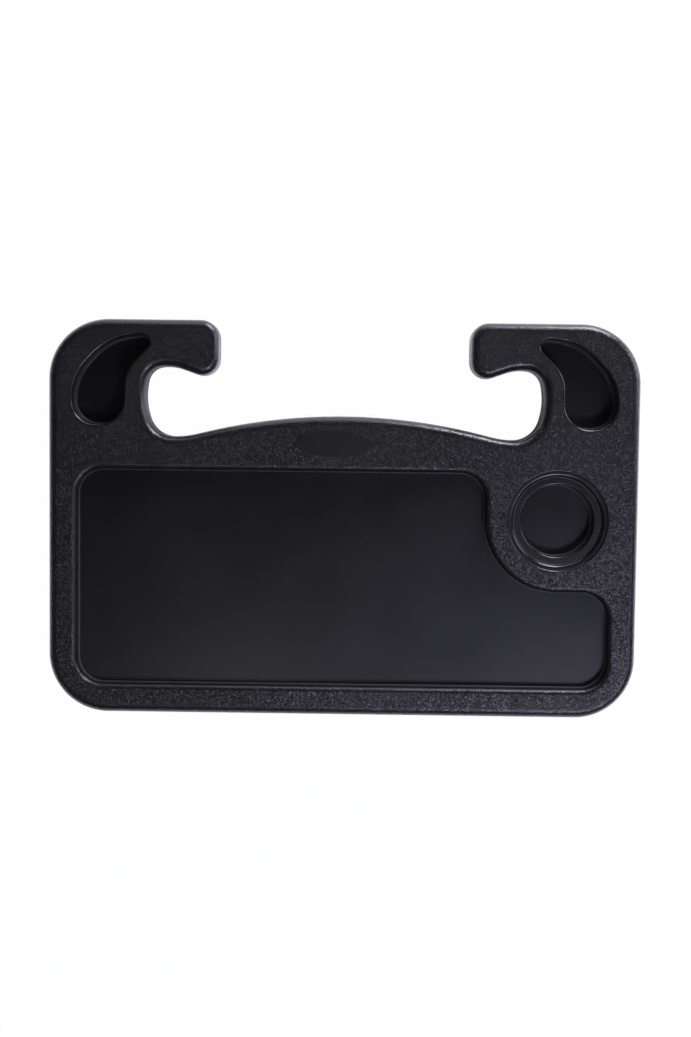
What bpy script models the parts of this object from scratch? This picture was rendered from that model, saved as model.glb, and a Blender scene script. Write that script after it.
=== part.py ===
# Steering wheel tray: a hollow two-part plastic moulding that hangs on a steering wheel by two hooks.
# It lies on its flat back with the dished side up: x across, y towards the hooks, z up.
# The origin is under the middle of the outline, on the surface that the tray lies on.
from math import acos, atan2, ceil, cos, pi, radians, sin, tan

import bmesh
import bpy
from mathutils import Vector

# Overall sizes, in metres
TRAY_WIDTH = 0.422
TRAY_LENGTH = 0.2824
TRAY_THICKNESS = 0.026
WALL = 0.0026
CORNER_RADIUS = 0.0425
EDGE_RADIUS = 0.006
PART_GAP = 0.0003

# Parting line: the front shell laps over a lip on the rear shell, with a small groove along the joint
LAP_HEIGHT = 0.0025
SEAM_CHAMFER = 0.0005

# Hooks and the slots that take the wheel's rim
COLUMN_WIDTH = 0.0671
SLOT_REACH = 0.0543
HOOK_ARM = 0.0326
SLOT_HEIGHT = 0.0506
HOOK_TIP_RADIUS = 0.013
BRIDGE_RADIUS = 0.412
BRIDGE_ANGLE = radians(14)
# Corners of the slot: across from the hook's tip, down from the arm, and the rounding, all in shares
# of the slot's reach, height and height
SLOT_SHARES = (
    (0.0, 0.228, 0.238),
    (0.615, 0.0, 0.69),
    (0.921, 0.034, 0.267),
    (1.0, 0.47, 0.97),
    (0.854, 1.0, 0.40),
    (0.427, 0.993, 1.41),
)

# Tray recess
SIDE_RIM = 0.0203
BOTTOM_RIM = 0.0209
BAND_WIDTH = 0.0234
RECESS_CORNER = 0.0187
RECESS_DEPTH = 0.010
RECESS_LIP = 0.004
RECESS_FILLET = 0.0008

# Stepped cup recess, turned about its own axis: a shallow step, a tread, a lip, a ledge and a well
CUP_RADIUS = 0.0316
CUP_STEP = 0.0012
CUP_TREAD = 0.0012
CUP_LIP = 0.0026
CUP_LEDGE_DEPTH = 0.0042
CUP_WELL_RADIUS = 0.0260
CUP_WELL_LIP = 0.0012
CUP_WELL_FILLET = 0.0008
CUP_SIDE_LAND = 0.0210
CUP_TOP_LAND = 0.0204
CUP_TRAY_LAND = 0.0148

# Teardrop pockets in the columns
POCKET_SIDE_LAND = 0.0170
POCKET_TOP_LAND = 0.0104
POCKET_SLOT_LAND = 0.0133
POCKET_TIP_REACH = 0.0190
POCKET_HEIGHT = 0.0644
POCKET_LIP = 0.0018
POCKET_FILLET = 0.0008
# Corners of the pocket: across from its outer side, up from its foot and the rounding, all in shares
# of its whole width, height and width; the waist lies on the body's inner side, with up and rounding
POCKET_UPPER_SHARES = (
    (0.0, 0.528, 0.78),
    (0.463, 0.942, 0.75),
    (0.930, 1.0, 0.136),
    (1.0, 0.890, 0.068),
)
POCKET_WAIST_SHARES = (0.589, 0.48)

# The deep pockets keep this room over the rear shell, for stiffening and for the moulding's draught
WELL_BACK_ROOM = 0.0063
WALL_DRAUGHT = radians(3)

# Smooth oval inlay on the bridge, a little to the left of the middle
OVAL_WIDTH = 0.0565
OVAL_HEIGHT = 0.0191
OVAL_THICKNESS = 0.001
OVAL_OFFSET = -0.0067
OVAL_RECESS_LAND = 0.0099

# Pen groove in the flat back, behind the bridge
PEN_GROOVE_LENGTH = 0.190
PEN_GROOVE_WIDTH = 0.013
PEN_GROOVE_DEPTH = 0.006
PEN_GROOVE_LIP = 0.0012
PEN_GROOVE_FILLET = 0.004

# Ribs, pins and sockets inside
RIB_THICKNESS = 0.0016
RIB_COLUMNS = 6
RIB_ROWS = 3
PIN_RADIUS = 0.002
PIN_INSET = 0.0095
SOCKET_WALL = 0.0015

# Fineness of the facets, and how far cutters run past what they cut
CHORD_ERROR = 0.00018
OVERRUN = 0.004
ROUND_STEPS = 3
INNER_ROUND_STEPS = 2
TURN_STEPS = 48
PIN_STEPS = 12
ROLL_REACH = radians(80)
CREASE_ANGLE = radians(35)
FLAT_ANGLE = radians(0.1)
MERGE_DISTANCE = 0.00001
EDGE_SHARE = 0.98

# Heights and places worked out from the sizes above
FRONT = TRAY_THICKNESS
SEAM = TRAY_THICKNESS / 2
SIDE = TRAY_WIDTH / 2
TOP = TRAY_LENGTH / 2
BOTTOM = -TRAY_LENGTH / 2
HOOK_TIP = SIDE - COLUMN_WIDTH - SLOT_REACH
SLOT_TOP = TOP - HOOK_ARM
SLOT_BOTTOM = SLOT_TOP - SLOT_HEIGHT
RECESS_TOP = SLOT_BOTTOM - BAND_WIDTH
RECESS_SIDE = SIDE - SIDE_RIM
RECESS_BOTTOM = BOTTOM + BOTTOM_RIM
RECESS_FLOOR = FRONT - RECESS_DEPTH
WELL_FLOOR = WALL + WELL_BACK_ROOM + WALL
CUP_TREAD_EDGE = CUP_RADIUS + CUP_LIP + CUP_TREAD
CUP_MOUTH = CUP_TREAD_EDGE + CUP_STEP
CUP_TREAD_HEIGHT = FRONT - CUP_STEP
CUP_X = SIDE - CUP_SIDE_LAND - CUP_MOUTH
CUP_Y = SLOT_BOTTOM - CUP_TOP_LAND - CUP_MOUTH
CUP_RING = CUP_MOUTH + CUP_TRAY_LAND


def clear_scene():
    for item in list(bpy.data.objects):
        bpy.data.objects.remove(item, do_unlink=True)


def make_collection(name):
    collection = bpy.data.collections.new(name)
    bpy.context.scene.collection.children.link(collection)
    return collection


def make_material(name, colour, roughness):
    material = bpy.data.materials.new(name)
    material.use_nodes = True
    shader = material.node_tree.nodes["Principled BSDF"]
    shader.inputs["Base Color"].default_value = (*colour, 1.0)
    shader.inputs["Roughness"].default_value = roughness
    shader.inputs["Metallic"].default_value = 0.0
    return material


# An outline is a list of points round a flat shape, each with its outward normal

def arc_steps(turn, radius):
    """How many facets keep an arc within the chord error."""
    if radius <= CHORD_ERROR:
        return 1
    return max(1, ceil(abs(turn) / (2 * acos(1 - CHORD_ERROR / radius))))


def rounded_outline(corners):
    """The outline of a polygon with corners (x, y, rounding), counter-clockwise, each one an arc."""
    spots = [Vector((x, y)) for x, y, rounding in corners]
    count = len(spots)
    edges = [spots[(i + 1) % count] - spots[i] for i in range(count)]
    turns = [atan2(edges[i - 1].cross(edges[i]), edges[i - 1].dot(edges[i])) for i in range(count)]
    trims = [corners[i][2] * tan(abs(turns[i]) / 2) for i in range(count)]
    shares = [1.0] * count
    for i in range(count):
        after = (i + 1) % count
        room = edges[i].length * EDGE_SHARE / max(trims[i] + trims[after], CHORD_ERROR)
        shares[i] = min(shares[i], room)
        shares[after] = min(shares[after], room)
    outline = []
    for i in range(count):
        radius = corners[i][2] * shares[i]
        along = edges[i - 1].normalized()
        side = 1 if turns[i] > 0 else -1
        inward = Vector((-along.y, along.x)) * side
        centre = spots[i] - along * trims[i] * shares[i] + inward * radius
        first = atan2(-inward.y, -inward.x)
        steps = arc_steps(turns[i], radius)
        for step in range(steps + 1):
            angle = first + turns[i] * step / steps
            spoke = Vector((cos(angle), sin(angle)))
            outline.append((centre + spoke * radius, spoke * side))
    return outline


def ellipse_outline(centre_x, centre_y, width, height):
    steps = 2 * arc_steps(pi, width)
    outline = []
    for step in range(steps):
        angle = 2 * pi * step / steps
        point = Vector((centre_x + width / 2 * cos(angle), centre_y + height / 2 * sin(angle)))
        normal = Vector((height * cos(angle), width * sin(angle))).normalized()
        outline.append((point, normal))
    return outline


def shifted(outline, distance):
    """A parallel outline, outwards by the distance."""
    return [(point + normal * distance, normal) for point, normal in outline]


def mirrored(corners):
    """The same corners on the other side of the middle, still counter-clockwise."""
    return [(-x, y, rounding) for x, y, rounding in reversed(corners)]


# Solids

def add_mesh(name, mesh):
    item = bpy.data.objects.new(name, mesh)
    bpy.context.scene.collection.objects.link(item)
    return item


def curve_as_mesh(name, curve, height):
    """Turn a curve into a closed mesh object at a height, and drop the curve."""
    guide = add_mesh(name + "_curve", curve)
    guide.location.z = height
    bpy.context.view_layer.update()
    evaluated = guide.evaluated_get(bpy.context.evaluated_depsgraph_get())
    mesh = bpy.data.meshes.new_from_object(evaluated)
    shape = bmesh.new()
    shape.from_mesh(mesh)
    bmesh.ops.remove_doubles(shape, verts=shape.verts, dist=MERGE_DISTANCE)
    bmesh.ops.dissolve_limit(shape, angle_limit=FLAT_ANGLE, verts=shape.verts, edges=shape.edges)
    bmesh.ops.recalc_face_normals(shape, faces=shape.faces)
    shape.to_mesh(mesh)
    shape.free()
    item = add_mesh(name, mesh)
    item.matrix_world = guide.matrix_world.copy()
    bpy.data.objects.remove(guide, do_unlink=True)
    bpy.data.curves.remove(curve)
    return item


def closed_spline(curve, outline):
    spline = curve.splines.new('POLY')
    spline.points.add(len(outline) - 1)
    for spot, (point, normal) in zip(spline.points, outline):
        spot.co = (point.x, point.y, 0, 1)
    spline.use_cyclic_u = True


def plate(name, outline, bottom, top):
    """A flat outline between two heights."""
    curve = bpy.data.curves.new(name, 'CURVE')
    curve.dimensions = '2D'
    curve.fill_mode = 'BOTH'
    curve.extrude = (top - bottom) / 2
    closed_spline(curve, outline)
    return curve_as_mesh(name, curve, (top + bottom) / 2)


def round_rim(item, height, radius, steps):
    """Round the rim that a plate has at a height; one step makes a chamfer."""
    shape = bmesh.new()
    shape.from_mesh(item.data)
    level = height - item.location.z
    rim = [edge for edge in shape.edges if all(abs(vert.co.z - level) < MERGE_DISTANCE for vert in edge.verts)]
    bmesh.ops.bevel(shape, geom=rim, offset=radius, offset_type='OFFSET', segments=steps, profile=0.5,
                    affect='EDGES', clamp_overlap=False)
    shape.to_mesh(item.data)
    shape.free()


def block(name, low, high):
    shape = bmesh.new()
    bmesh.ops.create_cube(shape, size=1.0)
    size = Vector(high) - Vector(low)
    middle = (Vector(high) + Vector(low)) / 2
    bmesh.ops.scale(shape, vec=size, verts=shape.verts)
    bmesh.ops.translate(shape, vec=middle, verts=shape.verts)
    mesh = bpy.data.meshes.new(name)
    shape.to_mesh(mesh)
    shape.free()
    return add_mesh(name, mesh)


def rod(name, x, y, radius, bottom, top):
    shape = bmesh.new()
    bmesh.ops.create_cone(shape, cap_ends=True, segments=PIN_STEPS, radius1=radius, radius2=radius,
                          depth=top - bottom)
    bmesh.ops.translate(shape, vec=(x, y, (top + bottom) / 2), verts=shape.verts)
    mesh = bpy.data.meshes.new(name)
    shape.to_mesh(mesh)
    shape.free()
    return add_mesh(name, mesh)


def loft(name, outline, stations):
    """A solid through parallel outlines at stations (distance outwards, height), lowest first."""
    shape = bmesh.new()
    rings = []
    for distance, height in stations:
        ring = [shape.verts.new((point.x, point.y, height)) for point, normal in shifted(outline, distance)]
        rings.append(ring)
    for lower, upper in zip(rings, rings[1:]):
        for i in range(len(lower)):
            shape.faces.new((lower[i - 1], lower[i], upper[i], upper[i - 1]))
    shape.faces.new(reversed(rings[0]))
    shape.faces.new(rings[-1])
    mesh = bpy.data.meshes.new(name)
    shape.to_mesh(mesh)
    shape.free()
    return add_mesh(name, mesh)


def turned(name, x, y, profile):
    """A solid turned about an upright axis from a profile (radius, height) that runs down its outside."""
    mesh = bpy.data.meshes.new(name)
    edges = [(i, i + 1) for i in range(len(profile) - 1)]
    mesh.from_pydata([(radius, 0, height) for radius, height in profile], edges, [])
    item = add_mesh(name, mesh)
    item.location = (x, y, 0)
    screw = item.modifiers.new("turn", 'SCREW')
    screw.steps = TURN_STEPS
    screw.render_steps = TURN_STEPS
    screw.use_merge_vertices = True
    screw.merge_threshold = MERGE_DISTANCE
    return item


def combine(target, operation, tools, helpers):
    """Join or cut the target with each tool, and keep the tools as hidden helpers."""
    for tool in tools:
        change = target.modifiers.new(tool.name, 'BOOLEAN')
        change.operation = operation
        change.solver = 'EXACT'
        change.object = tool
        tool.hide_render = True
        tool.display_type = 'WIRE'
        move_to(tool, helpers)


def move_to(item, collection):
    for holder in list(item.users_collection):
        holder.objects.unlink(item)
    collection.objects.link(item)


# Sections of the pockets: (distance outwards from the wall's upper edge, height)

def lip_arc(radius, height, reach):
    """A rounded lip from an upright wall towards a flat face, as far round as the reach."""
    arc = []
    for step in range(ROUND_STEPS + 1):
        angle = reach * step / ROUND_STEPS
        arc.append((radius * (1 - cos(angle)), height - radius + radius * sin(angle)))
    return arc


def roll(radius, height):
    """A rounded lip that runs on at a slight slope to just past the flat face."""
    arc = lip_arc(radius, height, ROLL_REACH)
    last_x, last_z = arc[-1]
    past = radius / 4
    arc.append((last_x + past, last_z + past / tan(ROLL_REACH)))
    return arc


def fillet(radius, distance, height):
    """A rounded foot from a floor at the height out to a wall at the distance."""
    arc = []
    for step in range(ROUND_STEPS + 1):
        angle = pi / 2 * step / ROUND_STEPS
        arc.append((distance - radius + radius * sin(angle), height + radius * (1 - cos(angle))))
    return arc


def pocket_section(floor, lip, foot):
    lean = (FRONT - lip - floor) * tan(WALL_DRAUGHT)
    section = fillet(foot, -lean, floor) + roll(lip, FRONT)
    section.append((section[-1][0], FRONT + OVERRUN))
    return section


def bowl_section(floor, lip, foot):
    """The outside of a pocket's wall, one wall thickness from its inside."""
    lean = (FRONT - lip - floor) * tan(WALL_DRAUGHT)
    section = fillet(foot, WALL - lean, floor - WALL)
    if lip > WALL:
        section.append((WALL, FRONT - lip))
    section.append((max(lip, WALL), FRONT - WALL / 2))
    return section


def turned_over(section):
    """The same section for a pocket in the flat back."""
    return [(distance, FRONT - height) for distance, height in reversed(section)]


def downward(section, radius):
    """A section as part of a turned profile: outwards from the radius, top to bottom."""
    return [(radius + distance, height) for distance, height in reversed(section)]


def cup_profile():
    """The room inside the stepped cup recess, from its top middle round to the middle of its floor."""
    ledge = FRONT - CUP_LEDGE_DEPTH
    lean = (ledge - CUP_WELL_LIP - WELL_FLOOR) * tan(WALL_DRAUGHT)
    mouth = downward(roll(CUP_STEP, FRONT), CUP_TREAD_EDGE)
    lip = downward(lip_arc(CUP_LIP, CUP_TREAD_HEIGHT, pi / 2), CUP_RADIUS)
    well = downward(lip_arc(CUP_WELL_LIP, ledge, pi / 2), CUP_WELL_RADIUS)
    foot = downward(fillet(CUP_WELL_FILLET, -lean, WELL_FLOOR), CUP_WELL_RADIUS)
    above = [(0, FRONT + OVERRUN), (mouth[0][0], FRONT + OVERRUN)]
    return above + mouth + lip + [(CUP_RADIUS, ledge)] + well + foot + [(0, WELL_FLOOR)]


def cup_bowl_profile():
    """The outside of the cup recess's wall."""
    ledge = FRONT - CUP_LEDGE_DEPTH - WALL
    side = CUP_RADIUS + WALL
    well = CUP_WELL_RADIUS + WALL
    foot = downward(fillet(CUP_WELL_FILLET, 0, WELL_FLOOR - WALL), well)
    shelf = CUP_TREAD_EDGE + WALL
    under = CUP_TREAD_HEIGHT - WALL
    above = [(0, FRONT - WALL / 2), (shelf, FRONT - WALL / 2), (shelf, under), (side, under)]
    return above + [(side, ledge), (well, ledge)] + foot + [(0, WELL_FLOOR - WALL)]


# Outlines of the tray's own shapes

def tray_outline():
    half = [
        (SIDE, BOTTOM, CORNER_RADIUS),
        (SIDE, TOP, CORNER_RADIUS),
        (HOOK_TIP, TOP, HOOK_TIP_RADIUS),
    ]
    for across, down, rounding in SLOT_SHARES:
        half.append((HOOK_TIP + SLOT_REACH * across, SLOT_TOP - SLOT_HEIGHT * down, SLOT_HEIGHT * rounding))
    foot_x, foot_y, rounding = half[-1]
    crest = (0, foot_y + foot_x * tan(BRIDGE_ANGLE), BRIDGE_RADIUS)
    return rounded_outline(half + [crest] + mirrored(half))


def recess_outline():
    step_x = CUP_X - CUP_RING
    step_y = CUP_Y - CUP_RING
    return rounded_outline([
        (-RECESS_SIDE, RECESS_BOTTOM, RECESS_CORNER),
        (RECESS_SIDE, RECESS_BOTTOM, RECESS_CORNER),
        (RECESS_SIDE, step_y, RECESS_CORNER),
        (step_x, step_y, CUP_RING),
        (step_x, RECESS_TOP, RECESS_CORNER),
        (-RECESS_SIDE, RECESS_TOP, RECESS_CORNER),
    ])


def pocket_corners():
    """Corners of the right-hand teardrop pocket."""
    outer = SIDE - POCKET_SIDE_LAND
    body = COLUMN_WIDTH - POCKET_SIDE_LAND - POCKET_SLOT_LAND
    width = body + POCKET_TIP_REACH
    foot = TOP - POCKET_TOP_LAND - POCKET_HEIGHT
    corners = [(outer, foot, body / 2)]
    for across, up, rounding in POCKET_UPPER_SHARES:
        corners.append((outer - width * across, foot + POCKET_HEIGHT * up, width * rounding))
    waist_up, waist_rounding = POCKET_WAIST_SHARES
    corners.append((outer - body, foot + POCKET_HEIGHT * waist_up, width * waist_rounding))
    corners.append((outer - body, foot, body / 2))
    return corners


def groove_outline():
    end = PEN_GROOVE_LENGTH / 2
    edge = PEN_GROOVE_WIDTH / 2
    middle = (SLOT_BOTTOM + RECESS_TOP) / 2
    return rounded_outline([
        (-end, middle - edge, edge),
        (end, middle - edge, edge),
        (end, middle + edge, edge),
        (-end, middle + edge, edge),
    ])


def oval_outline():
    middle = RECESS_TOP + OVAL_RECESS_LAND + OVAL_HEIGHT / 2
    return ellipse_outline(OVAL_OFFSET, middle, OVAL_WIDTH, OVAL_HEIGHT)


# The pieces

def pin_places():
    """Where the shells are pinned together: the corners, the rims, the hooks and the bridge's ends."""
    side = SIDE - PIN_INSET
    spoke = (CORNER_RADIUS - PIN_INSET) / 2 ** 0.5
    right = [
        (SIDE - CORNER_RADIUS + spoke, BOTTOM + CORNER_RADIUS - spoke),
        (side, (RECESS_BOTTOM + RECESS_TOP) / 2),
        (HOOK_TIP + SLOT_REACH / 2, TOP - HOOK_ARM / 2),
        (HOOK_TIP + SLOT_REACH / 2, (SLOT_BOTTOM + RECESS_TOP) / 2),
    ]
    return right + [(-x, y) for x, y in right] + [(0, BOTTOM + PIN_INSET)]


def ribs():
    """A grid of ribs on the back, under the tray recess and clear of the cup recess."""
    step_x = CUP_X - CUP_RING
    step_y = CUP_Y - CUP_RING
    top = RECESS_FLOOR - WALL - PART_GAP
    half = RIB_THICKNESS / 2
    column_pitch = (step_x + RECESS_SIDE) / (RIB_COLUMNS + 1)
    row_pitch = (RECESS_TOP - RECESS_BOTTOM) / (RIB_ROWS + 1)
    left = -RECESS_SIDE + RECESS_LIP
    grid = []
    for i in range(RIB_COLUMNS):
        x = -RECESS_SIDE + column_pitch * (i + 1)
        low = (x - half, RECESS_BOTTOM + RECESS_LIP, WALL / 2)
        grid.append(block("rib_column_%d" % i, low, (x + half, RECESS_TOP - RECESS_LIP, top)))
    for j in range(RIB_ROWS):
        y = RECESS_BOTTOM + row_pitch * (j + 1)
        right = RECESS_SIDE - RECESS_LIP if y < step_y - WALL else step_x - RECESS_LIP
        grid.append(block("rib_row_%d" % j, (left, y - half, WALL / 2), (right, y + half, top)))
    return grid


def front_shell(outline, helpers):
    joint = SEAM + PART_GAP / 2
    shell = plate("front_shell", outline, joint, FRONT)
    round_rim(shell, FRONT, EDGE_RADIUS, ROUND_STEPS)
    round_rim(shell, joint, SEAM_CHAMFER, 1)
    cavity = plate("front_cavity", shifted(outline, -WALL), -OVERRUN, FRONT - WALL)
    round_rim(cavity, FRONT - WALL, EDGE_RADIUS - WALL, INNER_ROUND_STEPS)
    rebate = plate("front_rebate", shifted(outline, -(WALL - PART_GAP) / 2), -OVERRUN,
                   SEAM + LAP_HEIGHT + PART_GAP)
    combine(shell, 'DIFFERENCE', [cavity, rebate], helpers)

    recess = recess_outline()
    right_pocket = rounded_outline(pocket_corners())
    left_pocket = rounded_outline(mirrored(pocket_corners()))
    bowls = [
        loft("recess_bowl", recess, bowl_section(RECESS_FLOOR, RECESS_LIP, RECESS_FILLET)),
        loft("right_pocket_bowl", right_pocket, bowl_section(WELL_FLOOR, POCKET_LIP, POCKET_FILLET)),
        loft("left_pocket_bowl", left_pocket, bowl_section(WELL_FLOOR, POCKET_LIP, POCKET_FILLET)),
        turned("cup_bowl", CUP_X, CUP_Y, cup_bowl_profile()),
    ]
    pins = [rod("pin_%d" % i, x, y, PIN_RADIUS, SEAM / 2, FRONT - WALL / 2)
            for i, (x, y) in enumerate(pin_places())]
    combine(shell, 'UNION', bowls + pins, helpers)

    seat = FRONT - OVAL_THICKNESS - PART_GAP
    pockets = [
        loft("recess_room", recess, pocket_section(RECESS_FLOOR, RECESS_LIP, RECESS_FILLET)),
        loft("right_pocket_room", right_pocket, pocket_section(WELL_FLOOR, POCKET_LIP, POCKET_FILLET)),
        loft("left_pocket_room", left_pocket, pocket_section(WELL_FLOOR, POCKET_LIP, POCKET_FILLET)),
        turned("cup_room", CUP_X, CUP_Y, cup_profile()),
        plate("oval_seat", shifted(oval_outline(), PART_GAP), seat, FRONT + OVERRUN),
    ]
    combine(shell, 'DIFFERENCE', pockets, helpers)
    return shell


def rear_shell(outline, helpers):
    joint = SEAM - PART_GAP / 2
    shell = plate("rear_shell", outline, 0, joint)
    round_rim(shell, 0, EDGE_RADIUS, ROUND_STEPS)
    round_rim(shell, joint, SEAM_CHAMFER, 1)
    lip = plate("rear_lip", shifted(outline, -(WALL + PART_GAP) / 2), SEAM - WALL, SEAM + LAP_HEIGHT)
    combine(shell, 'UNION', [lip], helpers)
    cavity = plate("rear_cavity", shifted(outline, -WALL), WALL, FRONT)
    round_rim(cavity, WALL, EDGE_RADIUS - WALL, INNER_ROUND_STEPS)
    combine(shell, 'DIFFERENCE', [cavity], helpers)

    groove = groove_outline()
    foot = min(PEN_GROOVE_FILLET, PEN_GROOVE_WIDTH / 3)
    floor = FRONT - PEN_GROOVE_DEPTH
    hole_radius = PIN_RADIUS + PART_GAP
    sockets = [rod("socket_%d" % i, x, y, hole_radius + SOCKET_WALL, WALL / 2, SEAM)
               for i, (x, y) in enumerate(pin_places())]
    groove_bowl = loft("groove_bowl", groove, turned_over(bowl_section(floor, PEN_GROOVE_LIP, foot)))
    combine(shell, 'UNION', ribs() + sockets + [groove_bowl], helpers)

    holes = [rod("socket_hole_%d" % i, x, y, hole_radius, WALL + RIB_THICKNESS, SEAM + OVERRUN)
             for i, (x, y) in enumerate(pin_places())]
    groove_room = loft("groove_room", groove, turned_over(pocket_section(floor, PEN_GROOVE_LIP, foot)))
    combine(shell, 'DIFFERENCE', holes + [groove_room], helpers)
    return shell


def build():
    clear_scene()
    tray = make_collection("steering_wheel_tray")
    helpers = make_collection("cutters")
    grained = make_material("grained_black_plastic", (0.016, 0.016, 0.019), 0.42)
    plain = make_material("smooth_black_plastic", (0.017, 0.017, 0.020), 0.50)
    outline = tray_outline()
    pieces = [
        (front_shell(outline, helpers), grained),
        (rear_shell(outline, helpers), grained),
        (plate("oval_inlay", oval_outline(), FRONT - OVAL_THICKNESS, FRONT), plain),
    ]
    for piece, material in pieces:
        move_to(piece, tray)
        piece.data.materials.clear()
        piece.data.materials.append(material)
        piece.data.shade_smooth()
        piece.data.set_sharp_from_angle(angle=CREASE_ANGLE)


build()
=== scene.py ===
from math import acos, atan2, ceil, cos, pi, radians, sin, tan

import bmesh
import bpy
from mathutils import Matrix, Vector


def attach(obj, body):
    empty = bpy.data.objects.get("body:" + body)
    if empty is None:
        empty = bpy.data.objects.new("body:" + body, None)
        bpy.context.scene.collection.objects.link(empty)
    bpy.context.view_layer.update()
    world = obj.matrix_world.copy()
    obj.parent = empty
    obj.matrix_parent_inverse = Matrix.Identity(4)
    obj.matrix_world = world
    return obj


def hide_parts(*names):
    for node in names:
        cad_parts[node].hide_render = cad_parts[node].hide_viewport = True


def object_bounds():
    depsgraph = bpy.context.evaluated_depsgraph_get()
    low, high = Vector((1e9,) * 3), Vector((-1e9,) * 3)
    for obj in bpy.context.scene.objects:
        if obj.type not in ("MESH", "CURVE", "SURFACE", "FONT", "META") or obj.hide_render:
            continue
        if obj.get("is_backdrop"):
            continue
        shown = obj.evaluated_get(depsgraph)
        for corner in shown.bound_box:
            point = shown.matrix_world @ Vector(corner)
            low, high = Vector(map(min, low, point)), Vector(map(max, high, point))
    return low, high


# Steering wheel tray: black moulded plastic, grained on the rim and smooth inside its recesses.
# Metres, in the frame of the model that is loaded here; x across, y towards the hooks, z up.

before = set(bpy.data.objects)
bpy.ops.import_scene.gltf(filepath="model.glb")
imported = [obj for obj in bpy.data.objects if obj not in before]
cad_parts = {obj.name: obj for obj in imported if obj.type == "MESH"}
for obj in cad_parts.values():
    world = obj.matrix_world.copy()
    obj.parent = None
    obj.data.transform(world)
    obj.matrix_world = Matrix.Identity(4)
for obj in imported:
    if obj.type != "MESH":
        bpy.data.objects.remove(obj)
lowCorner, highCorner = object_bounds()
print("frame loaded:", ", ".join(sorted(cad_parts)))


# Camera: a 50 mm lens almost square over the tray, a little towards the hooks

cameraSetup = {
    "lens": 50.0,
    "sensor": 36.0,
    "place": (0.01080, 0.06572, 1.0525),
    "tiltX": -0.0627374,     # turns in radians
    "tiltY": 0.0094020,
    "roll": 0.0120395,
}


def makeCamera(setup):
    data = bpy.data.cameras.new("camera")
    data.lens = setup["lens"]
    data.sensor_width = setup["sensor"]
    camera = bpy.data.objects.new("camera", data)
    bpy.context.scene.collection.objects.link(camera)
    turn = (Matrix.Rotation(setup["roll"], 4, 'Z') @ Matrix.Rotation(setup["tiltY"], 4, 'Y')
            @ Matrix.Rotation(setup["tiltX"], 4, 'X'))
    camera.matrix_world = Matrix.Translation(setup["place"]) @ turn
    bpy.context.scene.camera = camera


makeCamera(cameraSetup)
print("camera placed")


# Outlines: lists of points with their outward normals, counter-clockwise

shapeFineness = {
    "chordError": 0.00003,   # how far a facet may leave its arc
    "roundSteps": 8,         # facets in a quarter round
    "fewestSteps": 3,        # facets in the shortest round
    "flatBand": 0.0005,      # level ring beside each rounding, which keeps the shading flat there
    "cornerShare": 0.98,     # how much of an edge the roundings at its two ends may take
    "leastTrim": 1e-6,
    "creaseAngle": radians(35),
}


def arcSteps(turn, radius):
    chord = shapeFineness["chordError"]
    if radius <= chord:
        return 1
    return max(1, ceil(abs(turn) / (2 * acos(1 - chord / radius))))


def roundedOutline(corners):
    spots = [Vector((x, y)) for x, y, rounding in corners]
    count = len(spots)
    edges = [spots[(i + 1) % count] - spots[i] for i in range(count)]
    turns = [atan2(edges[i - 1].cross(edges[i]), edges[i - 1].dot(edges[i])) for i in range(count)]
    trims = [corners[i][2] * tan(abs(turns[i]) / 2) for i in range(count)]
    shares = [1.0] * count
    for i in range(count):
        after = (i + 1) % count
        trim = max(trims[i] + trims[after], shapeFineness["leastTrim"])
        room = edges[i].length * shapeFineness["cornerShare"] / trim
        shares[i] = min(shares[i], room)
        shares[after] = min(shares[after], room)
    outline = []
    for i in range(count):
        radius = corners[i][2] * shares[i]
        along = edges[i - 1].normalized()
        side = 1 if turns[i] > 0 else -1
        inward = Vector((-along.y, along.x)) * side
        centre = spots[i] - along * trims[i] * shares[i] + inward * radius
        first = atan2(-inward.y, -inward.x)
        steps = arcSteps(turns[i], radius)
        for step in range(steps + 1):
            angle = first + turns[i] * step / steps
            spoke = Vector((cos(angle), sin(angle)))
            outline.append((centre + spoke * radius, spoke * side))
    return outline


def ellipseOutline(centreX, centreY, width, height):
    steps = 2 * arcSteps(pi, width)
    outline = []
    for step in range(steps):
        angle = 2 * pi * step / steps
        point = Vector((centreX + width / 2 * cos(angle), centreY + height / 2 * sin(angle)))
        normal = Vector((height * cos(angle), width * sin(angle))).normalized()
        outline.append((point, normal))
    return outline


def circleOutline(centre, radius):
    steps = 2 * arcSteps(pi, radius)
    outline = []
    for step in range(steps):
        angle = 2 * pi * step / steps
        spoke = Vector((cos(angle), sin(angle)))
        outline.append((centre + spoke * radius, spoke))
    return outline


def mirrored(corners):
    return [(-x, y, rounding) for x, y, rounding in reversed(corners)]


# Sizes of the tray body; its width, length and thickness come from the frame.
# In all the sizes below, grain is how strongly the pebbled texture shows, rub is how much a hand
# or cloth wears a place smooth, and dust is how much has settled there together with painted fill
# light, a lighter colour on the shaded walls and feet, each from 0 to 1.

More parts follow.
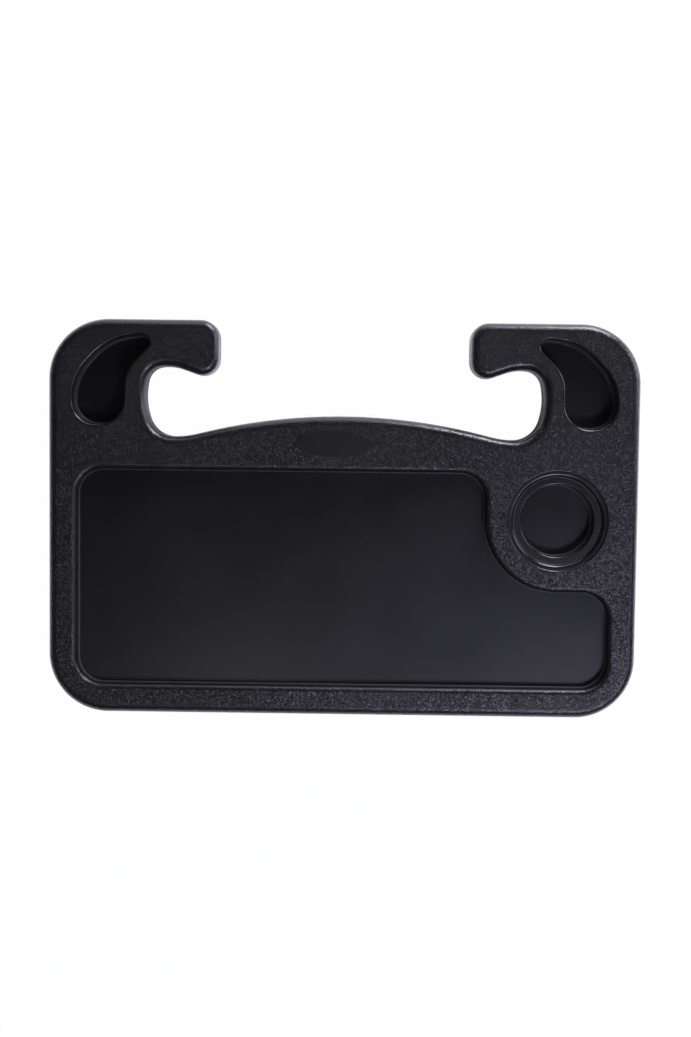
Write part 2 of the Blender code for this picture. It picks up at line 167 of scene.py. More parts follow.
trayBody = {
    "width": highCorner.x - lowCorner.x,
    "length": highCorner.y - lowCorner.y,
    "thickness": highCorner.z - lowCorner.z,
    "wall": 0.0026,
    "cornerRadius": 0.0425,
    "edgeRadius": 0.006,
    "seamChamfer": 0.0005,
    "partGap": 0.0003,
    "lapHeight": 0.0025,
    "columnWidth": 0.0671,
    "slotReach": 0.0543,
    "slotHeight": 0.0506,
    "hookArm": 0.0326,
    "hookTipRadius": 0.013,
    "bridgeRadius": 0.412,
    "bridgeAngle": radians(14),
    # across from the hook's tip, down from its arm and rounding, in shares of reach, height, height
    "slotShares": ((0.0, 0.228, 0.238), (0.615, 0.0, 0.69), (0.921, 0.034, 0.267),
                   (1.0, 0.47, 0.97), (0.854, 1.0, 0.40), (0.427, 0.993, 1.41)),
    "edgeGrain": (0.25, 0.55),   # from the side to the face
    "edgeRub": 0.8,
    "seamGrain": 0.6,
    "seamRub": 0.5,
    "lapGrain": 0.3,
}
side = trayBody["width"] / 2
top = trayBody["length"] / 2
front = trayBody["thickness"]
seam = front / 2
hookTip = side - trayBody["columnWidth"] - trayBody["slotReach"]
slotTop = top - trayBody["hookArm"]
slotBottom = slotTop - trayBody["slotHeight"]


def trayOutline():
    body = trayBody
    half = [(side, -top, body["cornerRadius"]), (side, top, body["cornerRadius"]),
            (hookTip, top, body["hookTipRadius"])]
    for across, down, rounding in body["slotShares"]:
        half.append((hookTip + body["slotReach"] * across, slotTop - body["slotHeight"] * down,
                     body["slotHeight"] * rounding))
    footX, footY, rounding = half[-1]
    crest = (0, footY + footX * tan(body["bridgeAngle"]), body["bridgeRadius"])
    return roundedOutline(half + [crest] + mirrored(half))


cupRecess = {
    "radius": 0.0316,
    "step": 0.0012,
    "tread": 0.0012,
    "lip": 0.0026,
    "ledgeDepth": 0.0042,
    "wellRadius": 0.0260,
    "wellLip": 0.0012,
    "wellFillet": 0.0003,
    "footFillet": 0.0003,
    "sideLand": 0.0210,
    "topLand": 0.0204,
    "trayLand": 0.0148,
    "stepGrain": 0.35,
    "lipRub": 1.0,
    "footDustAndFill": 1.0,
}
cupMouth = cupRecess["radius"] + cupRecess["lip"] + cupRecess["tread"] + cupRecess["step"]
cupX = side - cupRecess["sideLand"] - cupMouth
cupY = slotBottom - cupRecess["topLand"] - cupMouth
cupRing = cupMouth + cupRecess["trayLand"]

trayRecess = {
    "sideRim": 0.0203,
    "bottomRim": 0.0209,
    "bandWidth": 0.0234,
    "corner": 0.0187,
    "depth": 0.010,
    "lip": 0.004,
    "fillet": 0.0003,
    "draught": radians(3),
    "lipGrain": 0.9,
    "lipRub": 0.3,
    "footDustAndFill": 1.0,
}
recessTop = slotBottom - trayRecess["bandWidth"]
recessSide = side - trayRecess["sideRim"]
recessBottom = -top + trayRecess["bottomRim"]
recessFloor = front - trayRecess["depth"]


def recessOutline():
    stepX, stepY, corner = cupX - cupRing, cupY - cupRing, trayRecess["corner"]
    return roundedOutline([
        (-recessSide, recessBottom, corner), (recessSide, recessBottom, corner),
        (recessSide, stepY, corner), (stepX, stepY, cupRing),
        (stepX, recessTop, corner), (-recessSide, recessTop, corner)])


pocketShape = {
    "sideLand": 0.0170,
    "topLand": 0.0104,
    "slotLand": 0.0133,
    "tipReach": 0.0190,
    "height": 0.0644,
    "lip": 0.0018,
    "fillet": 0.0003,
    "backRoom": 0.0063,
    # across from the outer side, up from the foot and rounding, in shares of width, height, width
    "upperShares": ((0.0, 0.528, 0.78), (0.463, 0.942, 0.75), (0.930, 1.0, 0.136),
                    (1.0, 0.890, 0.068)),
    "waistShares": (0.589, 0.48),
    "lipGrain": 0.35,
    "lipRub": 1.0,
    "footDustAndFill": 1.0,
}
wellFloor = 2 * trayBody["wall"] + pocketShape["backRoom"]


def pocketCorners():
    shape = pocketShape
    outer = side - shape["sideLand"]
    body = trayBody["columnWidth"] - shape["sideLand"] - shape["slotLand"]
    width = body + shape["tipReach"]
    foot = top - shape["topLand"] - shape["height"]
    corners = [(outer, foot, body / 2)]
    for across, up, rounding in shape["upperShares"]:
        corners.append((outer - width * across, foot + shape["height"] * up, width * rounding))
    waistUp, waistRounding = shape["waistShares"]
    corners.append((outer - body, foot + shape["height"] * waistUp, width * waistRounding))
    corners.append((outer - body, foot, body / 2))
    return corners


ovalInlay = {
    "width": 0.0565,
    "height": 0.0191,
    "thickness": 0.001,
    "offset": -0.0067,
    "recessLand": 0.0099,
    "gap": 0.00012,
    "edgeRadius": 0.00025,
    "sideBand": 0.0001,      # upright ring below the inlay's rounding
    "edgeRub": 0.6,
    "seatBevel": 0.0001,
    "seatGrain": 0.5,
    "seatRub": 0.5,
}


def ovalOutline(outset):
    middle = recessTop + ovalInlay["recessLand"] + ovalInlay["height"] / 2
    return ellipseOutline(ovalInlay["offset"], middle, ovalInlay["width"] + 2 * outset,
                          ovalInlay["height"] + 2 * outset)


penGroove = {
    "length": 0.190,
    "width": 0.013,
    "depth": 0.006,
    "lip": 0.0012,
    "fillet": 0.004,
    "lipGrain": (1.0, 0.3),
    "footGrain": (0.3, 0.2),
    "lipRub": 1.0,
    "footDustAndFill": 0.5,
}


def grooveOutline():
    end, edge = penGroove["length"] / 2, penGroove["width"] / 2
    middle = (slotBottom + recessTop) / 2
    return roundedOutline([(-end, middle - edge, edge), (end, middle - edge, edge),
                           (end, middle + edge, edge), (-end, middle + edge, edge)])


# Sections: stations of (distance outwards from the outline, height, grain, rub), in order along the
# surface. A rub below zero is settled dust with painted fill light: a lighter colour that stands in
# for light on the shaded walls and feet.

def plain(distance, height):
    return distance, height, 0.0, 0.0


def grained(distance, height):
    return distance, height, 1.0, 0.0


def arc(distance, height, radius, firstAngle, lastAngle, grains=(0.0, 0.0), rub=0.0):
    # rub is strongest half way round; dust and its painted fill light lie evenly
    turn = lastAngle - firstAngle
    facets = round(shapeFineness["roundSteps"] * abs(turn) / (pi / 2))
    steps = max(shapeFineness["fewestSteps"], facets)
    stations = []
    for step in range(steps + 1):
        share = step / steps
        angle = firstAngle + turn * share
        grain = grains[0] + (grains[1] - grains[0]) * share
        stations.append((distance + radius * cos(angle), height + radius * sin(angle), grain,
                         rub * sin(pi * share) if rub > 0 else rub))
    return stations


def outerWall(up):
    # from the inside of the face over the lap joint, then round the outer edge onto the face;
    # up is 1 for the front shell and -1 for the rear one
    body = trayBody
    wall, gap, edge = body["wall"], body["partGap"], body["edgeRadius"]
    chamfer, rub = body["seamChamfer"], body["seamRub"]
    face, quarter = (front if up > 0 else 0), pi / 2 * up
    middle = face - edge * up
    joint, lap = seam + up * gap / 2, (wall - up * gap) / 2
    lapEnd = seam + body["lapHeight"] + (gap if up > 0 else 0)
    stations = arc(-edge, middle, edge - wall, quarter, 0)
    stations += [plain(-wall, lapEnd), plain(-lap, lapEnd), (-lap, joint, body["lapGrain"], 0.0),
                 (-chamfer, joint, body["seamGrain"], rub), (0, joint + chamfer * up, 1.0, rub),
                 grained(0, joint + 2 * chamfer * up)]
    stations += arc(-edge, middle, edge, 0, quarter, body["edgeGrain"], body["edgeRub"])
    stations.append(grained(-edge - shapeFineness["flatBand"], face))
    return stations


def recessSection(floor, setup):
    # from the land over the lip, down the wall and round the foot to the floor
    lip, fillet, band = setup["lip"], setup["fillet"], shapeFineness["flatBand"]
    lean = (front - lip - floor) * tan(trayRecess["draught"])
    stations = [grained(lip + band, front)]
    stations += arc(lip, front - lip, lip, pi / 2, pi, (setup["lipGrain"], 0.0), setup["lipRub"])
    # settled dust with painted fill light at the foot, fading lighter up the wall
    stations += arc(-lean - fillet, floor + fillet, fillet, 0, -pi / 2, rub=-setup["footDustAndFill"])
    stations.append(plain(-lean - fillet - band, floor))
    return stations


def bowlSection(floor, setup):
    # the hidden outside of a recess, from its bottom up to the ceiling
    lip, fillet, wall = setup["lip"], setup["fillet"], trayBody["wall"]
    lean = (front - lip - floor) * tan(trayRecess["draught"])
    ceiling = front - wall
    stations = arc(wall - lean - fillet, floor - wall + fillet, fillet, -pi / 2, 0)
    if lip > wall:
        return stations + [plain(wall, front - lip), plain(lip, ceiling)]
    return stations + [plain(wall, ceiling)]


# Mesh building

def meshPiece(name, shape):
    data = bpy.data.meshes.new(name)
    shape.to_mesh(data)
    shape.free()
    piece = bpy.data.objects.new(name, data)
    bpy.context.scene.collection.objects.link(piece)
    return piece


class ShellMesh:
    # collects rings of points and the faces between them, with the grain and rub of each point; a
    # rub below zero carries dust and painted fill light
    def __init__(self):
        self.mesh = bmesh.new()
        self.grain = self.mesh.verts.layers.float.new("grainAmount")
        self.rub = self.mesh.verts.layers.float.new("rubAndPaintedFill")

    def ring(self, outline, station):
        distance, height, grain, rub = station
        points = []
        for point, normal in outline:
            spot = point + normal * distance
            vert = self.mesh.verts.new((spot.x, spot.y, height))
            vert[self.grain] = grain
            vert[self.rub] = rub
            points.append(vert)
        return points

    def strip(self, outline, stations):
        rings = [self.ring(outline, station) for station in stations]
        for lower, upper in zip(rings, rings[1:]):
            for i in range(len(lower)):
                self.mesh.faces.new((lower[i - 1], lower[i], upper[i], upper[i - 1]))
        return rings[0], rings[-1]

    def cap(self, ring):
        self.mesh.faces.new(ring)

    def sheet(self, rings):
        # a level sheet between an outer ring and the rings of its holes
        edges = []
        for ring in rings:
            for i in range(len(ring)):
                edges.append(self.mesh.edges.get((ring[i - 1], ring[i])))
        bmesh.ops.triangle_fill(self.mesh, use_beauty=True, use_dissolve=False, edges=edges)

    def finish(self, name):
        bmesh.ops.recalc_face_normals(self.mesh, faces=self.mesh.faces)
        openEdges = sum(len(edge.link_faces) != 2 for edge in self.mesh.edges)
        piece = meshPiece(name, self.mesh)
        piece.data.shade_smooth()
        piece.data.set_sharp_from_angle(angle=shapeFineness["creaseAngle"])
        print(name, "made:", len(piece.data.polygons), "faces,", openEdges, "open edges")
        return piece


def frontShell():
    band, inlay = shapeFineness["flatBand"], ovalInlay
    skin = ShellMesh()
    ceilingEdge, landEdge = skin.strip(trayOutline(), outerWall(1))

    landRings, ceilingRings = [landEdge], [ceilingEdge]
    pocket = pocketCorners()
    for shape, floor, setup in (
            (recessOutline(), recessFloor, trayRecess),
            (roundedOutline(pocket), wellFloor, pocketShape),
            (roundedOutline(mirrored(pocket)), wellFloor, pocketShape)):
        land, foot = skin.strip(shape, recessSection(floor, setup))
        skin.cap(foot)
        landRings.append(land)
        under, ceiling = skin.strip(shape, bowlSection(floor, setup))
        skin.cap(under)
        ceilingRings.append(ceiling)

    land, ceiling = cupFaces(skin)
    landRings.append(land)
    ceilingRings.append(ceiling)

    seat, bevel = front - inlay["thickness"] - trayBody["partGap"], inlay["seatBevel"]
    land, foot = skin.strip(ovalOutline(inlay["gap"]), [
        grained(band, front), (bevel, front, 1.0, inlay["seatRub"]),
        (0, front - bevel, inlay["seatGrain"], inlay["seatRub"]), plain(0, seat)])
    skin.cap(foot)
    landRings.append(land)

    skin.sheet(landRings)
    skin.sheet(ceilingRings)
    return skin.finish("front_shell_skin")


def cupFaces(skin):
    # a narrow step with its tread, the lip, the ledge and the well; the bowl is their hidden side
    cup, band, wall = cupRecess, shapeFineness["flatBand"], trayBody["wall"]
    # dust here is settled dust with painted fill light on the cup's walls and feet
    step, lip, wellLip, rub, dust = (cup[name] for name in
                                     ("step", "lip", "wellLip", "lipRub", "footDustAndFill"))
    circle = circleOutline(Vector((cupX, cupY)), cup["radius"])
    ledge, well = front - cup["ledgeDepth"], cup["wellRadius"] - cup["radius"]
    treadEdge, treadHeight = lip + cup["tread"], front - step
    small, fillet = cup["footFillet"], cup["wellFillet"]
    lean = (ledge - wellLip - wellFloor) * tan(trayRecess["draught"])
    stations = [grained(treadEdge + step + band, front)]
    stations += arc(treadEdge + step, treadHeight, step, pi / 2, pi, (cup["stepGrain"], 0.0), rub)
    stations += arc(lip, treadHeight - lip, lip, pi / 2, pi, rub=rub)
    # painted fill light with settled dust at the ledge's foot and, below, at the well's foot
    stations += arc(-small, ledge + small, small, 0, -pi / 2, rub=-dust)
    stations += [plain(-small - band, ledge), plain(well + wellLip + band, ledge)]
    stations += arc(well + wellLip, ledge - wellLip, wellLip, pi / 2, pi, rub=rub)
    stations += arc(well - lean - fillet, wellFloor + fillet, fillet, 0, -pi / 2, rub=-dust)
    stations.append(plain(stations[-1][0] - band, wellFloor))
    land, foot = skin.strip(circle, stations)
    skin.cap(foot)
    bowl = arc(well + wall - fillet, wellFloor - wall + fillet, fillet, -pi / 2, 0)
    bowl += [plain(well + wall, ledge - wall), plain(wall, ledge - wall),
             plain(wall, treadHeight - wall), plain(treadEdge + wall, treadHeight - wall),
             plain(treadEdge + wall, front - wall)]
    under, ceiling = skin.strip(circle, bowl)
    skin.cap(under)
    return land, ceiling


def rearShell():
    groove, band, wall = penGroove, shapeFineness["flatBand"], trayBody["wall"]
    lip, fillet, depth = groove["lip"], groove["fillet"], groove["depth"]
    lean = (depth - lip) * tan(trayRecess["draught"])
    skin = ShellMesh()
    floorEdge, backEdge = skin.strip(trayOutline(), outerWall(-1))

    outline = grooveOutline()
    stations = [grained(lip + band, 0)]
    stations += arc(lip, lip, lip, -pi / 2, -pi, groove["lipGrain"], groove["lipRub"])
    # the groove's foot carries settled dust with painted fill light
    stations += arc(-lean - fillet, depth - fillet, fillet, 0, pi / 2, groove["footGrain"],
                    -groove["footDustAndFill"])
    back, foot = skin.strip(outline, stations)
    skin.cap(foot)
    over = arc(wall - lean - fillet, depth + wall - fillet, fillet, pi / 2, 0)
    roof, inside = skin.strip(outline, over + [plain(wall, wall)])
    skin.cap(roof)
    skin.sheet([backEdge, back])
    skin.sheet([floorEdge, inside])
    return skin.finish("rear_shell_skin")


def ovalPiece():
    inlay = ovalInlay
    edge = inlay["edgeRadius"]
    skin = ShellMesh()
    stations = [plain(0, front - inlay["thickness"]), plain(0, front - edge - inlay["sideBand"])]
    stations += arc(-edge, front - edge, edge, 0, pi / 2, rub=inlay["edgeRub"])
    stations.append(plain(-edge - shapeFineness["flatBand"], front))
    under, face = skin.strip(ovalOutline(0), stations)
    skin.cap(under)
    skin.cap(face)
    return skin.finish("oval_inlay_skin")


frontPiece = frontShell()
rearPiece = rearShell()
ovalTop = ovalPiece()


# Nodes

def addNode(tree, kind, links=None, **settings):
    # links: input name or number to a socket or a plain value
    node = tree.nodes.new(kind)
    for name, value in settings.items():
        setattr(node, name, value)
    for name, value in (links or {}).items():
        if isinstance(value, bpy.types.NodeSocket):
            tree.links.new(value, node.inputs[name])
        else:
            node.inputs[name].default_value = value
    return node


def mathNode(tree, operation, first, second=0.0, third=0.0):
    links = {0: first, 1: second, 2: third}
    return addNode(tree, 'ShaderNodeMath', links, operation=operation).outputs[0]


def vectorNode(tree, operation, first, second):
    slot = "Scale" if operation == 'SCALE' else 1
    links = {0: first, slot: second}
    node = addNode(tree, 'ShaderNodeVectorMath', links, operation=operation)
    return node.outputs["Value" if operation == 'DOT_PRODUCT' else "Vector"]


def rangeNode(tree, value, fromLow, fromHigh, toLow, toHigh, smooth=False):
    links = {"Value": value, "From Min": fromLow, "From Max": fromHigh,
             "To Min": toLow, "To Max": toHigh}
    kind = 'SMOOTHSTEP' if smooth else 'LINEAR'
    node = addNode(tree, 'ShaderNodeMapRange', links, interpolation_type=kind)
    return node.outputs["Result"]


def mixColour(tree, factor, first, second, blend='MIX'):
    node = addNode(tree, 'ShaderNodeMix', data_type='RGBA', blend_type=blend)
    for slot, value in ((0, factor), (6, first), (7, second)):
        socket = node.inputs[slot]
        if isinstance(value, bpy.types.NodeSocket):
            tree.links.new(value, socket)
        elif isinstance(value, tuple):
            socket.default_value = (*value, 1.0)
        else:
            socket.default_value = value
    return node.outputs[2]


# Effects that the materials share

def newGroup(name, inputs, outputs):
    # a group with number sockets; it comes with their ends inside and the place on the object
    group = bpy.data.node_groups.new(name, 'ShaderNodeTree')
    kind = 'NodeSocketFloat'
    for socketName, value in inputs.items():
        socket = group.interface.new_socket(name=socketName, in_out='INPUT', socket_type=kind)
        socket.default_value = value
    for socketName in outputs:
        group.interface.new_socket(name=socketName, in_out='OUTPUT', socket_type=kind)
    given, put = group.nodes.new('NodeGroupInput'), group.nodes.new('NodeGroupOutput')
    place = addNode(group, 'ShaderNodeTexCoord').outputs["Object"]
    return group, given.outputs, put.inputs, place


def groupNode(tree, group, values):
    node = tree.nodes.new('ShaderNodeGroup')
    node.node_tree = group
    for name, value in values.items():
        node.inputs[name].default_value = value
    return node.outputs


pebbleForm = {
    "scatter": 0.9,          # how far the pebbles stray from even spacing
    "bendDetail": 1.0,
    "domeReach": 0.75,       # how far from its middle a pebble slopes down
    "domeShare": 0.45,       # how much of its height slopes; the rest is flat
    "valleyWidth": 0.22,
    "lowest": 0.55,          # the lowest pebble's height as a share of the highest's
}


def pebbleGrainGroup(form):
    # rounded pebbles with narrow valleys, as spark-eroded into the mould; each leans its own way
    group, given, put, place = newGroup(
        "pebbleGrain", {"Pebble Size": 0.001, "Waviness": 0.35}, ("Height", "Valley", "Lean"))
    middle = (0.5, 0.5, 0.5)
    scale = mathNode(group, 'DIVIDE', 1.0, given["Pebble Size"])
    bend = addNode(group, 'ShaderNodeTexNoise',
                   {"Vector": place, "Scale": scale, "Detail": form["bendDetail"]})
    offset = vectorNode(group, 'SUBTRACT', bend.outputs["Color"], middle)
    reach = mathNode(group, 'MULTIPLY', given["Waviness"], given["Pebble Size"])
    warped = vectorNode(group, 'ADD', place, vectorNode(group, 'SCALE', offset, reach))
    pattern = {"Vector": warped, "Scale": scale, "Randomness": form["scatter"]}
    cells = addNode(group, 'ShaderNodeTexVoronoi', pattern, feature='F1').outputs
    borders = addNode(group, 'ShaderNodeTexVoronoi', pattern, feature='DISTANCE_TO_EDGE').outputs

    share = form["domeShare"]
    dome = rangeNode(group, cells["Distance"], 0.0, form["domeReach"], 1.0, 0.0)
    rise = rangeNode(group, borders["Distance"], 0.0, form["valleyWidth"], 0.0, 1.0, smooth=True)
    chance = addNode(group, 'ShaderNodeSeparateColor', {0: cells["Color"]}).outputs[0]
    tall = rangeNode(group, chance, 0.0, 1.0, form["lowest"], 1.0)
    rounded = mathNode(group, 'MULTIPLY_ADD', dome, share, 1 - share)
    lump = mathNode(group, 'MULTIPLY', rounded, rise)
    group.links.new(mathNode(group, 'MULTIPLY', lump, tall), put["Height"])
    group.links.new(mathNode(group, 'SUBTRACT', 1.0, rise), put["Valley"])

    fromMiddle = vectorNode(group, 'SUBTRACT', warped, cells["Position"])
    direction = vectorNode(group, 'SUBTRACT', cells["Color"], middle)
    group.links.new(vectorNode(group, 'DOT_PRODUCT', fromMiddle, direction), put["Lean"])
    return group


satinForm = {
    "toothDetail": 2.0,
    "patchDetail": 3.0,
    "patchRoughness": 0.55,
    "patchRange": (0.3, 0.7),    # noise levels where a patch begins and is full
}


def satinTextureGroup(form):
    # the faint tooth of a matt moulding, and slow patches where it was rubbed
    group, given, put, place = newGroup(
        "satinTexture", {"Tooth Size": 0.0003, "Patch Size": 0.05}, ("Tooth", "Patches"))
    toothScale = mathNode(group, 'DIVIDE', 1.0, given["Tooth Size"])
    patchScale = mathNode(group, 'DIVIDE', 1.0, given["Patch Size"])
    tooth = addNode(group, 'ShaderNodeTexNoise',
                    {"Vector": place, "Scale": toothScale, "Detail": form["toothDetail"]})
    patch = addNode(group, 'ShaderNodeTexNoise',
                    {"Vector": place, "Scale": patchScale, "Detail": form["patchDetail"],
                     "Roughness": form["patchRoughness"]})
    low, high = form["patchRange"]
    patches = rangeNode(group, patch.outputs["Fac"], low, high, 0.0, 1.0, smooth=True)
    group.links.new(tooth.outputs["Fac"], put["Tooth"])
    group.links.new(patches, put["Patches"])
    return group


def fineDustGroup():
    # sparse specks of lint and dust
    group, given, put, place = newGroup(
        "fineDust", {"Speck Spacing": 0.004, "Speck Share": 0.1}, ("Dust",))
    scale = mathNode(group, 'DIVIDE', 1.0, given["Speck Spacing"])
    specks = addNode(group, 'ShaderNodeTexVoronoi', {"Vector": place, "Scale": scale}, feature='F1')
    chance = addNode(group, 'ShaderNodeSeparateColor', {0: specks.outputs["Color"]}).outputs[1]
    rarity = mathNode(group, 'MULTIPLY', chance, chance)
    reach = mathNode(group, 'MULTIPLY', given["Speck Share"], rarity)
    group.links.new(mathNode(group, 'LESS_THAN', specks.outputs["Distance"], reach), put["Dust"])
    return group


pebbleGrain = pebbleGrainGroup(pebbleForm)
satinTexture = satinTextureGroup(satinForm)
fineDust = fineDustGroup()


# Plastics

mouldedBlack = {
    "grainColour": (0.0050, 0.0049, 0.0055),
    "smoothColour": (0.0024, 0.0024, 0.0028),
    # painted shade: the share of colour taken away in the valleys between the pebbles
    "valleyPaintedShade": 0.55,
    "grainRoughness": 0.34,
    "smoothRoughness": 0.34,
    "rubbedRoughness": -0.18,    # added where the plastic is rubbed
    "patchRoughness": 0.05,      # added in the slow patches
    "specular": 0.50,
    "pebbleSize": 0.00095,
    "pebbleWaviness": 0.35,
    "pebbleDepth": 0.00006,
    "pebbleLean": 0.34,
    "toothSize": 0.00030,
    "toothDepth": 0.000010,
    "patchSize": 0.05,
    "speckSpacing": 0.004,
    "speckShare": 0.1,
    "speckColour": (0.10, 0.10, 0.10),
    "speckCover": 0.35,
    # settled dust with painted fill light: a lighter grey on the shaded walls and feet of the
    # recesses that stands in for light they lack; the roughness below is added at the same places
    "dustAndFillColour": (0.034, 0.034, 0.038),
    "dustAndFillRoughness": 0.05,    # added where dust has settled
}
smoothOval = dict(mouldedBlack, smoothColour=(0.0018, 0.0021, 0.0022), smoothRoughness=0.42)


def mouldedPlastic(name, look):
    material = bpy.data.materials.new(name)
    material.use_nodes = True
    tree = material.node_tree
    shader = tree.nodes["Principled BSDF"]
    grainAmount, rubAndPaintedFill = (
        addNode(tree, 'ShaderNodeAttribute', attribute_name=layer).outputs["Fac"]
        for layer in ("grainAmount", "rubAndPaintedFill"))
    pebbles = groupNode(tree, pebbleGrain, {"Pebble Size": look["pebbleSize"],
                                            "Waviness": look["pebbleWaviness"]})
    satin = groupNode(tree, satinTexture, {"Tooth Size": look["toothSize"],
                                           "Patch Size": look["patchSize"]})
    dust = groupNode(tree, fineDust, {"Speck Spacing": look["speckSpacing"],
                                      "Speck Share": look["speckShare"]})
    handled = mathNode(tree, 'MAXIMUM', rubAndPaintedFill, 0.0)
    # dust and painted fill light: where rub is below zero the colour turns to the lighter grey
    dustAndPaintedFill = mathNode(tree, 'MAXIMUM', mathNode(tree, 'MULTIPLY', rubAndPaintedFill, -1.0), 0.0)

    # painted shade: the base colour is darkened in the pebbles' valleys, where shade falls
    dark = mathNode(tree, 'MULTIPLY', pebbles["Valley"], look["valleyPaintedShade"])
    keep = mathNode(tree, 'SUBTRACT', 1.0, dark)
    valleyShadedColour = mixColour(tree, 1.0, look["grainColour"], keep, 'MULTIPLY')
    body = mixColour(tree, grainAmount, look["smoothColour"], valleyShadedColour)
    specks = mathNode(tree, 'MULTIPLY', dust["Dust"], look["speckCover"])
    specked = mixColour(tree, specks, body, look["speckColour"])
    # settled dust with painted fill light on the shaded walls and feet
    withDustAndPaintedFill = mixColour(tree, dustAndPaintedFill, specked, look["dustAndFillColour"])
    tree.links.new(withDustAndPaintedFill, shader.inputs["Base Color"])

    smooth = look["smoothRoughness"]
    even = mathNode(tree, 'MULTIPLY_ADD', grainAmount, look["grainRoughness"] - smooth, smooth)
    patchy = mathNode(tree, 'MULTIPLY_ADD', satin["Patches"], look["patchRoughness"], even)
    rubbed = mathNode(tree, 'MULTIPLY_ADD', handled, look["rubbedRoughness"], patchy)
    dulled = mathNode(tree, 'MULTIPLY_ADD', dustAndPaintedFill, look["dustAndFillRoughness"], rubbed)
    tree.links.new(dulled, shader.inputs["Roughness"])
    shader.inputs["Specular IOR Level"].default_value = look["specular"]

    leaning = mathNode(tree, 'MULTIPLY', pebbles["Lean"], look["pebbleLean"])
    pebble = mathNode(tree, 'MULTIPLY_ADD', pebbles["Height"], look["pebbleDepth"], leaning)
    grainHeight = mathNode(tree, 'MULTIPLY', pebble, grainAmount)
    height = mathNode(tree, 'MULTIPLY_ADD', satin["Tooth"], look["toothDepth"], grainHeight)
    bump = addNode(tree, 'ShaderNodeBump', {"Strength": 1.0, "Distance": 1.0, "Height": height})
    tree.links.new(bump.outputs["Normal"], shader.inputs["Normal"])
    return material


for piece, look, node, slotName in (
        (frontPiece, mouldedBlack, "front_shell", "grained_plastic"),
        (rearPiece, mouldedBlack, "rear_shell", "grained_plastic"),
        (ovalTop, smoothOval, "oval_inlay", "smooth_plastic")):
    piece.data.materials.append(mouldedPlastic(node + "_plastic", look))
    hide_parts(node)
    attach(piece, "root")
print("shells and inlay finished")


# Floor and backdrop: white for the camera, with the tray's own soft shadow kept. The dark plastic
# reflects the lit and shaded floor instead.

stageSetup = {
    "floorSize": 20.0,
    "floorTiles": 8,
    "floorDrop": 0.0003,
    "wallRadius": 9.5,
    "wallHeight": 5.0,
    "wallSides": 48,
    "white": 0.90,
    "shownWhite": 0.985,     # share of plain white that the camera sees; the rest keeps the shadow
    "glossWhite": 0.06,      # the same in reflections
    "glossGain": 1.1,        # how much lighter than white the lit floor is in reflections
}


def stageMaterial(setup):
    material = bpy.data.materials.new("studio_white")
    material.use_nodes = True
    tree = material.node_tree
    tree.nodes.clear()
    rays = addNode(tree, 'ShaderNodeLightPath').outputs
    glossy = rays["Is Glossy Ray"]
    seen = mathNode(tree, 'MAXIMUM', rays["Is Camera Ray"], rays["Is Transmission Ray"])
    shown = mathNode(tree, 'MULTIPLY', seen, setup["shownWhite"])
    gloss = mathNode(tree, 'MULTIPLY', glossy, setup["glossWhite"])
    share = mathNode(tree, 'MAXIMUM', shown, gloss)
    lighter = mathNode(tree, 'MULTIPLY_ADD', glossy, setup["glossGain"], setup["white"])
    paper = addNode(tree, 'ShaderNodeBsdfDiffuse', {"Color": lighter})
    glow = addNode(tree, 'ShaderNodeEmission', {"Color": (1.0, 1.0, 1.0, 1.0), "Strength": 1.0})
    mix = addNode(tree, 'ShaderNodeMixShader',
                  {0: share, 1: paper.outputs[0], 2: glow.outputs[0]})
    output = addNode(tree, 'ShaderNodeOutputMaterial')
    tree.links.new(mix.outputs[0], output.inputs["Surface"])
    return material


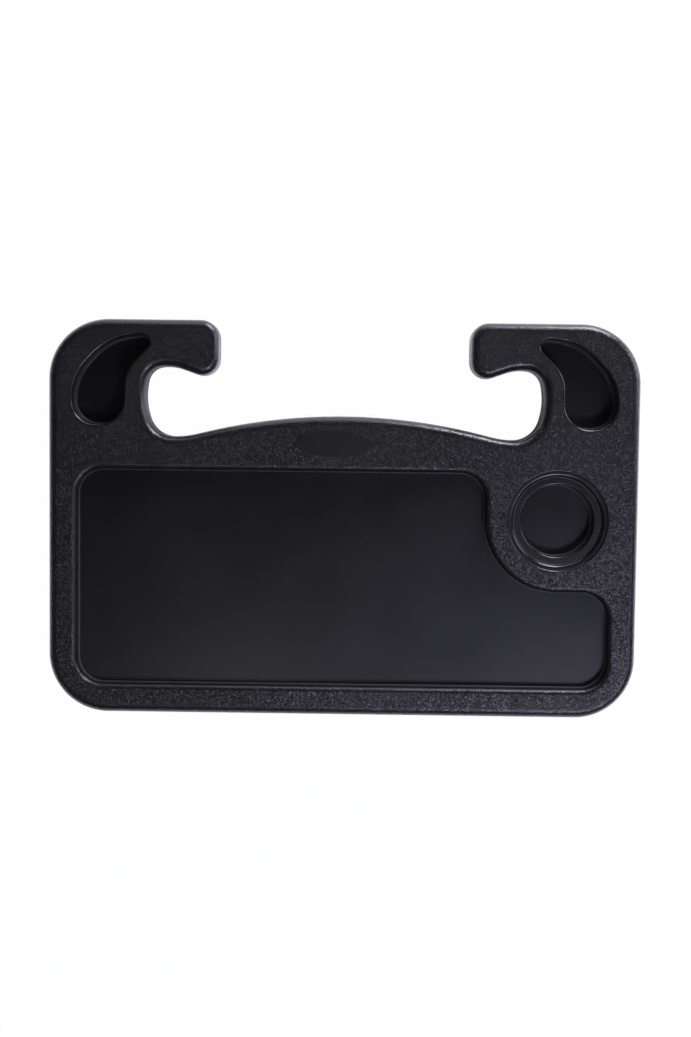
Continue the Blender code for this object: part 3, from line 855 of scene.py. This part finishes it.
def makeStage(setup):
    white = stageMaterial(setup)
    drop, radius, sides, tiles = (setup[name] for name in
                                  ("floorDrop", "wallRadius", "wallSides", "floorTiles"))
    shape = bmesh.new()
    bmesh.ops.create_grid(shape, x_segments=tiles, y_segments=tiles, size=setup["floorSize"] / 2)
    floor = meshPiece("studio_floor", shape)
    floor.location.z = -drop

    shape = bmesh.new()
    angles = [2 * pi * i / sides for i in range(sides)]
    foot, head = ([shape.verts.new((radius * cos(angle), radius * sin(angle), z))
                   for angle in angles] for z in (-drop, setup["wallHeight"]))
    for i in range(sides):
        shape.faces.new((foot[i - 1], foot[i], head[i], head[i - 1]))
    wall = meshPiece("studio_wall", shape)
    for item in (floor, wall):
        item.data.materials.append(white)
        item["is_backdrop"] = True


makeStage(stageSetup)
print("floor and backdrop made")


# Light: a low key with two low lights beside it beyond the hooks and on the right, three soft
# boxes, a weak fill from the left and a dim room

coolWhite = (1.0, 0.98, 1.12)
violetWhite = (0.97, 0.94, 1.27)
lampSetup = {
    "key": {"place": (0.44, 0.84, 0.32), "size": (0.45, 0.45), "power": 9.5, "colour": coolWhite},
    "topBar": {"place": (-0.02, 0.95, 0.28), "size": (0.90, 0.40), "power": 2.3,
               "colour": coolWhite},
    "sideLight": {"place": (0.92, 0.34, 0.26), "size": (0.50, 0.50), "power": 2.8,
                  "colour": coolWhite},
    "softBox": {"place": (0.43, -0.71, 1.11), "size": (0.30, 0.30), "power": 5.8,
                "colour": violetWhite},
    "softSide": {"place": (0.85, -0.35, 1.00), "size": (0.40, 0.40), "power": 1.8,
                 "colour": violetWhite},
    "smallBox": {"place": (-0.14, -0.36, 0.78), "size": (0.20, 0.20), "power": 0.35,
                 "colour": (0.97, 0.96, 1.10)},
    # lifts the shaded walls without a gleam of its own
    "fill": {"place": (-0.80, -0.70, 0.50), "size": (1.00, 1.00), "power": 5.0,
             "colour": (1.0, 1.0, 1.10), "mattOnly": True},
}
roomLight = (0.035, 0.035, 0.038)


def makeLamp(name, setup):
    data = bpy.data.lights.new(name, 'AREA')
    data.shape = 'ELLIPSE'
    data.size, data.size_y = setup["size"]
    data.energy = setup["power"]
    data.color = setup["colour"]
    lamp = bpy.data.objects.new(name, data)
    bpy.context.scene.collection.objects.link(lamp)
    lamp.location = setup["place"]
    lamp.rotation_euler = (-lamp.location).to_track_quat('-Z', 'Y').to_euler()
    lamp.visible_glossy = not setup.get("mattOnly")


for lampName, setup in lampSetup.items():
    makeLamp(lampName, setup)

world = bpy.data.worlds.new("dim_room")
world.use_nodes = True
world.node_tree.nodes["Background"].inputs["Color"].default_value = (*roomLight, 1.0)
bpy.context.scene.world = world
bpy.context.scene.view_settings.view_transform = 'Standard'
print("light ready")

bpy.context.view_layer.update()
lowCorner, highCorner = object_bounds()
